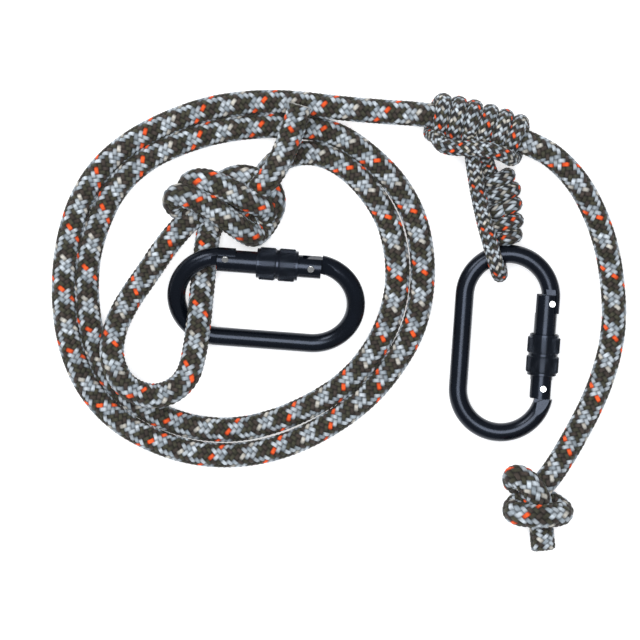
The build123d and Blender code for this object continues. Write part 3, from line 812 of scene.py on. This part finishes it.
    def back_leg(self) -> list[Point]:
        """From under the bridge down inside the upper barrel."""
        return [
            (0.0800, 0.0940, 0.0230), (0.0812, 0.0890, 0.0175), (0.0828, 0.0840, 0.0145),
            (0.0860, 0.0765, 0.0124), (0.0888, 0.0690, 0.0122), (0.0900, 0.0635, 0.0125),
        ]

    def lower_barrel_and_tail(self) -> list[Point]:
        """Round the lower barrel and out to the lower tail's end."""
        turns = self.barrel(self.lower_axis, 2.0, 20, False)
        return turns + [
            (0.0862, 0.0450, 0.0145), (0.0850, 0.0490, 0.0080), (0.0805, 0.0478, 0.0050),
        ]

    def build(self, finish: bpy.types.Material) -> list[bpy.types.Object]:
        """Make the cord's pieces along one continuous line.

        Args:
            finish: the sheath's material.

        Returns:
            The pieces, from tail to tail.
        """
        left = self.wraps(self.first_left, -1)
        right = self.wraps(self.first_right, 1)
        bridge = self.bridge()
        back_leg = self.back_leg()
        route = (self.tail_and_upper_barrel() + self.bight() + left + bridge
                 + right[::-1] + back_leg + self.lower_barrel_and_tail())
        line = Line("hitch_cord", route, self.braid.step)
        marks = [0, line.nearest(self.bight()[-1], 0.15)]
        marks.append(line.nearest(bridge[3], line.run[marks[-1]] + 0.1))
        marks.append(line.nearest(back_leg[0], line.run[marks[-1]] + 0.1))
        marks.append(len(line.run) - 1)
        plan = [
            ("upper_barrel_bight_and_front_leg",
             ["cord_tail_upper", "joining_knot_upper_barrel", "hitch_leg_and_bight"], "object"),
            ("hitch_left_wraps", ["hitch_wraps"], "object"),
            ("hitch_right_wraps", ["hitch_bridge"], "object"),
            ("back_leg_and_lower_barrel",
             ["hitch_back_leg", "joining_knot_lower_barrel", "cord_tail_lower"], "bare"),
        ]
        pieces = []
        for (name, nodes, far_end), first, last in zip(plan, marks, marks[1:]):
            ends = {"cap_first": first == 0, "cap_last": last == len(line.run) - 1}
            piece = self.braid.piece(name, line, first, last, finish, self.grip(line), **ends)
            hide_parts(*nodes)
            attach(piece, "hitch")
            LOG.info("%s: %.0f mm", name, 1000 * (line.run[last] - line.run[first]))
            pieces.append(piece)
        LOG.info("hitch cord: %.0f mm in all", 1000 * line.run[-1])
        return pieces


# ------------------------------------------------------------------ carabiners
class Side(Enum):
    """The two carabiners, named by what holds them."""

    LOOP = "loop"
    HITCH = "hitch"


@dataclass
class Carabiner:
    """An oval screw-lock carabiner: the CAD's own solids, finished, and a knurled sleeve."""

    side: Side
    place: Matrix
    gate_axis_x: float = 0.0218
    nose_end: float = 0.0066
    length: float = 0.0229
    outer: float = 0.0091
    collar: float = 0.0082
    collar_length: float = 0.0014
    collar_edge: float = 0.0002
    bevel: float = 0.0008
    bevel_rise: float = 0.0004
    groove_radius: float = 0.0082
    groove_middle: float = 0.0114
    groove_half: float = 0.0006
    bore: float = 0.00628
    counterbore: float = 0.00755
    counterbore_depth: float = 0.0060
    knurl_depth: float = 0.00044
    knurl_row: float = 0.00016
    knurl_slant: float = 1.12
    knurl_flat: float = 0.75
    knurls_round: int = 40
    around: int = 400

    def node(self, piece: str) -> bpy.types.Object:
        """One of the carabiner's CAD objects."""
        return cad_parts[f"{self.side.value}_carabiner_{piece}"]

    def profile(self) -> list[tuple[float, float, float]]:
        """The sleeve's outline: distance from the nose end, radius, and how much it is knurled."""
        total = self.length
        collar, bevel, groove = self.collar_length, self.bevel, self.groove_middle
        half, edge = self.groove_half, self.collar_edge
        raised = self.collar + self.bevel_rise
        spots = [
            (self.counterbore_depth, self.bore, 0), (self.counterbore_depth, self.counterbore, 0),
            (0.0, self.counterbore, 0), (0.0, self.collar - edge, 0), (edge, self.collar, 0),
            (collar, self.collar, 0), (collar + bevel / 4, raised, 0),
        ]
        spots += self._band(collar + bevel, groove - half - bevel)
        spots += [(groove - half, self.groove_radius, 0), (groove + half, self.groove_radius, 0)]
        spots += self._band(groove + half + bevel, total - collar - bevel)
        spots += [
            (total - collar - bevel / 4, raised, 0), (total - collar, self.collar, 0),
            (total - edge, self.collar, 0), (total, self.collar - edge, 0),
            (total, self.bore, 0), (self.counterbore_depth, self.bore, 0),
        ]
        return spots

    def _band(self, start: float, stop: float) -> list[tuple[float, float, float]]:
        """One knurled band's rows."""
        rows = max(8, round((stop - start) / self.knurl_row))
        return [(start + (stop - start) * k / rows, self.outer, 1.0) for k in range(rows + 1)]

    def sleeve(self, finish: bpy.types.Material) -> bpy.types.Object:
        """Make the knurled sleeve and let it stand for the CAD one."""
        spots = np.array(self.profile())
        turn = np.arange(self.around) / self.around
        pitch = 2 * math.pi * self.outer / self.knurls_round
        u = turn[None, :] * self.knurls_round
        v = spots[:, :1] / (pitch * self.knurl_slant)
        ridge = np.minimum(np.abs((u + v) % 1 - 0.5), np.abs((u - v) % 1 - 0.5)) * 2
        cut = np.clip(1 - ridge / self.knurl_flat, 0, 1) * self.knurl_depth * 2
        radius = spots[:, 1:2] - np.minimum(cut, self.knurl_depth) * spots[:, 2:3]
        angle = 2 * math.pi * turn[None, :]
        local = np.stack([
            self.gate_axis_x + radius * np.cos(angle),
            np.broadcast_to(self.nose_end - spots[:, :1], radius.shape),
            radius * np.sin(angle),
        ], axis=-1).reshape(-1, 3)
        turned = np.array(self.place.to_3x3())
        world = local @ turned.T + np.array(self.place.translation)
        name = f"{self.side.value}_knurled_sleeve"
        piece = mesh_piece(name, world, grid_quads(len(spots), self.around), finish, smooth=False)
        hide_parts(f"{self.side.value}_carabiner_locking_sleeve")
        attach(piece, f"{self.side.value}_sleeve")
        return piece

    def dress(self, body: bpy.types.Material, rivet: bpy.types.Material,
              inner: bpy.types.Material) -> None:
        """Give the CAD solids their finishes."""
        for piece, finish in (("frame", body), ("gate", body), ("hinge_rivet", rivet),
                              ("latch_pin", rivet), ("spring_plunger", inner),
                              ("gate_spring", inner)):
            target = self.node(piece)
            target.data.materials.clear()
            target.data.materials.append(finish)
            LOG.info("%s finished", target.name)


def carabiner_place(centre: Point, heading: float, about_x: float, about_y: float) -> Matrix:
    """Where a carabiner lies.

    Args:
        centre: its middle, in metres.
        heading: turn about Z, in degrees.
        about_x: tilt about its own X, in degrees.
        about_y: tilt about its own Y, in degrees.

    Returns:
        The carabiner's frame in the object's.
    """
    return (Matrix.Translation(centre) @ Matrix.Rotation(math.radians(heading), 4, "Z")
            @ Matrix.Rotation(math.radians(about_x), 4, "X")
            @ Matrix.Rotation(math.radians(about_y), 4, "Y"))


# ---------------------------------------------------------------------- studio
@dataclass
class Studio:
    """Floor, lights and the camera straight above."""

    middle: tuple[float, float] = (-0.0106, -0.0003)
    across: float = 0.3558
    lens: float = 220.0
    sensor: float = 36.0

    def floor(self) -> bpy.types.Object:
        """A plain pale floor."""
        bpy.ops.mesh.primitive_plane_add(size=6.0, location=(0, 0, -0.0001))
        floor = bpy.context.object
        floor.name = "floor"
        floor.data.materials.append(FloorFinish().material())
        return floor

    def camera(self) -> bpy.types.Object:
        """The camera, looking straight down."""
        data = bpy.data.cameras.new("camera")
        data.lens = self.lens
        data.sensor_width = self.sensor
        camera = bpy.data.objects.new("camera", data)
        height = self.across * self.lens / self.sensor
        camera.location = (*self.middle, height + 0.010)
        bpy.context.scene.collection.objects.link(camera)
        bpy.context.scene.camera = camera
        return camera

    def light(self, name: str, place: Point, size: tuple[float, float], power: float,
              colour: Colour = (1, 1, 1)) -> bpy.types.Object:
        """An area light aimed at the object.

        Args:
            name: the light's name.
            place: where it hangs, in metres.
            size: its width and height.
            power: watts.
            colour: its colour.

        Returns:
            The light.
        """
        data = bpy.data.lights.new(name, "AREA")
        data.shape = "RECTANGLE"
        data.size, data.size_y = size
        data.energy = power
        data.color = colour
        lamp = bpy.data.objects.new(name, data)
        lamp.location = place
        aim = Vector((0, 0, 0)) - Vector(place)
        lamp.rotation_euler = aim.to_track_quat("-Z", "Y").to_euler()
        bpy.context.scene.collection.objects.link(lamp)
        return lamp

    def build(self) -> None:
        """Set the whole studio up."""
        self.floor()
        self.camera()
        self.light("overhead", (0.0, 0.0, 2.6), (1.6, 1.6), 56.0, (0.93, 0.96, 1.0))
        self.light("upper_left", (-1.1, 1.1, 1.6), (0.8, 0.8), 14.0)
        world = bpy.data.worlds.new("studio")
        world.use_nodes = True
        world.node_tree.nodes["Background"].inputs["Color"].default_value = (0.92, 0.95, 1.0, 1)
        world.node_tree.nodes["Background"].inputs["Strength"].default_value = 0.30
        bpy.context.scene.world = world
        bpy.context.scene.view_settings.view_transform = "Standard"


def main() -> None:
    """Build the whole object and its studio."""
    logging.basicConfig(level=logging.INFO, format="%(message)s")
    Studio().build()
    rope = MainRope()
    rope.build(BraidFinish("rope_sheath").material())
    HitchCord(rope).build(BraidFinish("cord_sheath", filaments=7.0).material())

    black = MetalFinish("black_anodised", (0.008, 0.012, 0.021), 0.70, 0.24, coat=0.10)
    knurl = MetalFinish("knurled_black", (0.016, 0.021, 0.032), 0.8, 0.20, bump=0.1, coat=0.15)
    bright = MetalFinish("bright_rivet", (0.72, 0.72, 0.70), 1.0, 0.22)
    steel = MetalFinish("plain_steel", (0.50, 0.50, 0.52), 1.0, 0.35)
    body, sleeve, rivet, inner = (f.material() for f in (black, knurl, bright, steel))
    bar_radius, gap, spine_reach, loop_tilt = 0.00515, 0.0002, 0.024, 23.4
    loop_height = bar_radius + gap + spine_reach * math.sin(math.radians(loop_tilt))
    places = {
        Side.LOOP: carabiner_place((-0.0405, 0.0108, loop_height), 85.7, 0, -loop_tilt),
        Side.HITCH: carabiner_place((0.0919, -0.0132, 0.0111), -3.9, 5.2, 0),
    }
    for side, place in places.items():
        carabiner = Carabiner(side, place)
        carabiner.dress(body, rivet, inner)
        carabiner.sleeve(sleeve)


if __name__ == "__main__":
    main()
